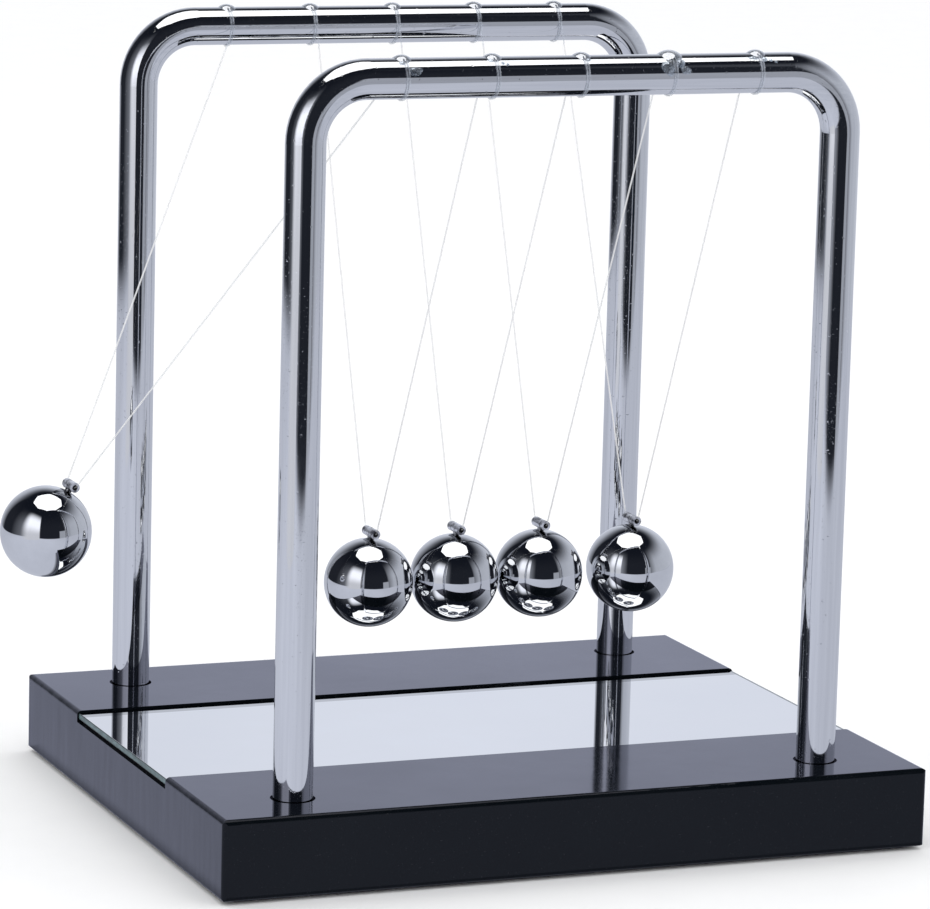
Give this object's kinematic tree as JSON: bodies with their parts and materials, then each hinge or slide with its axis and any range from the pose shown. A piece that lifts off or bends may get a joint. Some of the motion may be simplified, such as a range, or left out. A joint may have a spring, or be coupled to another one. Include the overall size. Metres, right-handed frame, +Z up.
{
  "type": "newtons cradle",
  "caption": "Row of polished steel balls hung on clear lines from chromed tube frames over a black base with a mirror, each ball on its own swinging joint.",
  "frame": {"origin": "middle of the underside of the base, on the resting surface", "axes": "+X along the row of balls towards ball 5, +Y from the front frame to the back frame, +Z up"},
  "size_m": [0.2104, 0.155, 0.1937],
  "materials": {
    "black_lacquer": "black gloss lacquer over a wood block",
    "mirror_glass": "clear glass mirror with ground green edges",
    "black_foam": "matte black foam sheet",
    "frame_chrome": "bright chrome plate",
    "zinc_steel": "zinc-plated steel",
    "clear_line": "clear nylon line",
    "clear_glue": "clear hardened glue",
    "ball_steel": "mirror-polished steel",
    "eyelet_steel": "bright turned steel"
  },
  "bodies": {
    "stand": {"base_block": "black_lacquer", "mirror_plate": "mirror_glass", "mirror_tape": "black_foam", "front_frame": "frame_chrome", "back_frame": "frame_chrome", "leg_inserts": "zinc_steel", "leg_screws": "zinc_steel", "leg_washers": "zinc_steel", "base_sheet": "black_foam", "front_line_wraps": "clear_line", "back_line_wraps": "clear_line", "front_glue_beads": "clear_glue", "back_glue_beads": "clear_glue"},
    "pendulum_1": {"ball_1": "ball_steel", "ball_eyelet_1": "eyelet_steel", "suspension_line_1": "clear_line"},
    "pendulum_2": {"ball_2": "ball_steel", "ball_eyelet_2": "eyelet_steel", "suspension_line_2": "clear_line"},
    "pendulum_3": {"ball_3": "ball_steel", "ball_eyelet_3": "eyelet_steel", "suspension_line_3": "clear_line"},
    "pendulum_4": {"ball_4": "ball_steel", "ball_eyelet_4": "eyelet_steel", "suspension_line_4": "clear_line"},
    "pendulum_5": {"ball_5": "ball_steel", "ball_eyelet_5": "eyelet_steel", "suspension_line_5": "clear_line"}
  },
  "joints": [
    {"name": "ball_1_swing", "type": "hinge", "parent": "stand", "child": "pendulum_1", "pos_m": [-0.0446, 0, 0.188], "axis": [0, 1, 0], "range_deg": [-27.8, 30.5]},
    {"name": "ball_2_swing", "type": "hinge", "parent": "stand", "child": "pendulum_2", "pos_m": [-0.0223, 0, 0.188], "axis": [0, 1, 0], "range_deg": [-0.23, 27.66]},
    {"name": "ball_3_swing", "type": "hinge", "parent": "stand", "child": "pendulum_3", "pos_m": [0, 0, 0.188], "axis": [0, 1, 0], "range_deg": [-0.225, 0.225]},
    {"name": "ball_4_swing", "type": "hinge", "parent": "stand", "child": "pendulum_4", "pos_m": [0.0223, 0, 0.188], "axis": [0, 1, 0], "range_deg": [-1.22, 0.23]},
    {"name": "ball_5_swing", "type": "hinge", "parent": "stand", "child": "pendulum_5", "pos_m": [0.0446, 0, 0.188], "axis": [0, 1, 0], "range_deg": [-60.3, 1.22]}
  ]
}
